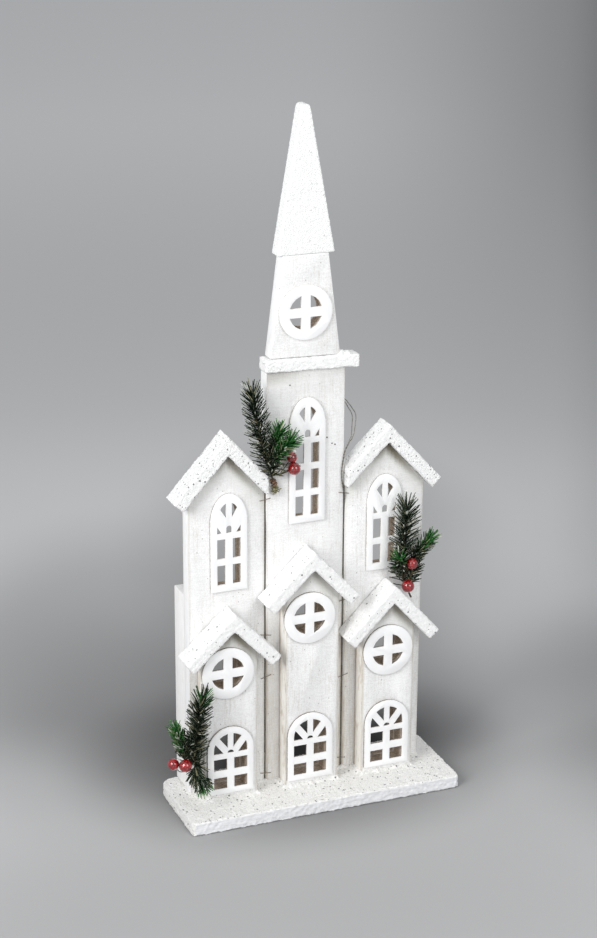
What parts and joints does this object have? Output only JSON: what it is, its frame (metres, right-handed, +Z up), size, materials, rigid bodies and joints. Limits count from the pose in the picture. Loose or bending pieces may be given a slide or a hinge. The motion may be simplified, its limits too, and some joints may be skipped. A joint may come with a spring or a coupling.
{
  "type": "wooden church house",
  "caption": "Flat wooden church village decoration with snowy roofs, fretwork windows, fir sprigs with berries and a battery light string, standing on a board base.",
  "frame": {"origin": "centre of the base board's underside", "axes": "+Z up, front of the church towards -Y, +X to the viewer's right seen from the front"},
  "size_m": [0.3229, 0.108, 0.7327],
  "materials": {
    "snowy_wood": "rough flocked snow over white paint",
    "painted_wood": "matt whitewash over grained pine",
    "fret_sheet": "smooth matt white paint",
    "screw_steel": "zinc plated",
    "black_plastic": "fine moulded texture",
    "cell_wrap": "glossy wrap",
    "nickel": "nickel plated",
    "silver_wire": "lacquered fine wire",
    "fir_needles": "matt, frosted tips",
    "red_berry": "glossy lacquer"
  },
  "bodies": {
    "church": {"base_board": "snowy_wood", "tower_cornice": "snowy_wood", "spire_cap": "snowy_wood", "left_tower_roof_left_slat": "snowy_wood", "left_tower_roof_right_slat": "snowy_wood", "right_tower_roof_left_slat": "snowy_wood", "right_tower_roof_right_slat": "snowy_wood", "left_house_roof_left_slat": "snowy_wood", "left_house_roof_right_slat": "snowy_wood", "centre_house_roof_left_slat": "snowy_wood", "centre_house_roof_right_slat": "snowy_wood", "right_house_roof_left_slat": "snowy_wood", "right_house_roof_right_slat": "snowy_wood", "left_tower_board": "painted_wood", "centre_tower_board": "painted_wood", "right_tower_board": "painted_wood", "spire_board": "painted_wood", "left_house_board": "painted_wood", "centre_house_board": "painted_wood", "right_house_board": "painted_wood", "left_rear_strut": "painted_wood", "right_rear_strut": "painted_wood", "cross_batten": "painted_wood", "spire_round_window": "fret_sheet", "left_house_round_window": "fret_sheet", "centre_house_round_window": "fret_sheet", "right_house_round_window": "fret_sheet", "left_tower_lancet_window": "fret_sheet", "centre_tower_lancet_window": "fret_sheet", "right_tower_lancet_window": "fret_sheet", "left_house_door_window": "fret_sheet", "centre_house_door_window": "fret_sheet", "right_house_door_window": "fret_sheet", "base_screw_1": "screw_steel", "base_screw_2": "screw_steel", "base_screw_3": "screw_steel", "base_screw_4": "screw_steel", "base_screw_5": "screw_steel", "base_screw_6": "screw_steel", "battery_case": "black_plastic", "switch_body": "black_plastic", "battery_cell_1": "cell_wrap", "battery_cell_2": "cell_wrap", "battery_spring_1": "nickel", "battery_spring_2": "nickel", "contact_bridge": "nickel", "contact_plate_1": "nickel", "contact_plate_2": "nickel", "light_string": "silver_wire", "upper_sprig": "fir_needles", "right_sprig": "fir_needles", "lower_sprig": "fir_needles", "upper_berries": "red_berry", "right_berries": "red_berry", "lower_berries": "red_berry"},
    "cover": {"battery_cover": "black_plastic"},
    "switch": {"switch_slider": "black_plastic"}
  },
  "joints": [
    {"name": "cover_slide", "type": "slide", "parent": "church", "child": "cover", "axis": [-1, 0, 0], "range_m": [0, 0.05]},
    {"name": "switch_slide", "type": "slide", "parent": "church", "child": "switch", "axis": [0, 0, 1], "range_m": [0, 0.0036]}
  ]
}
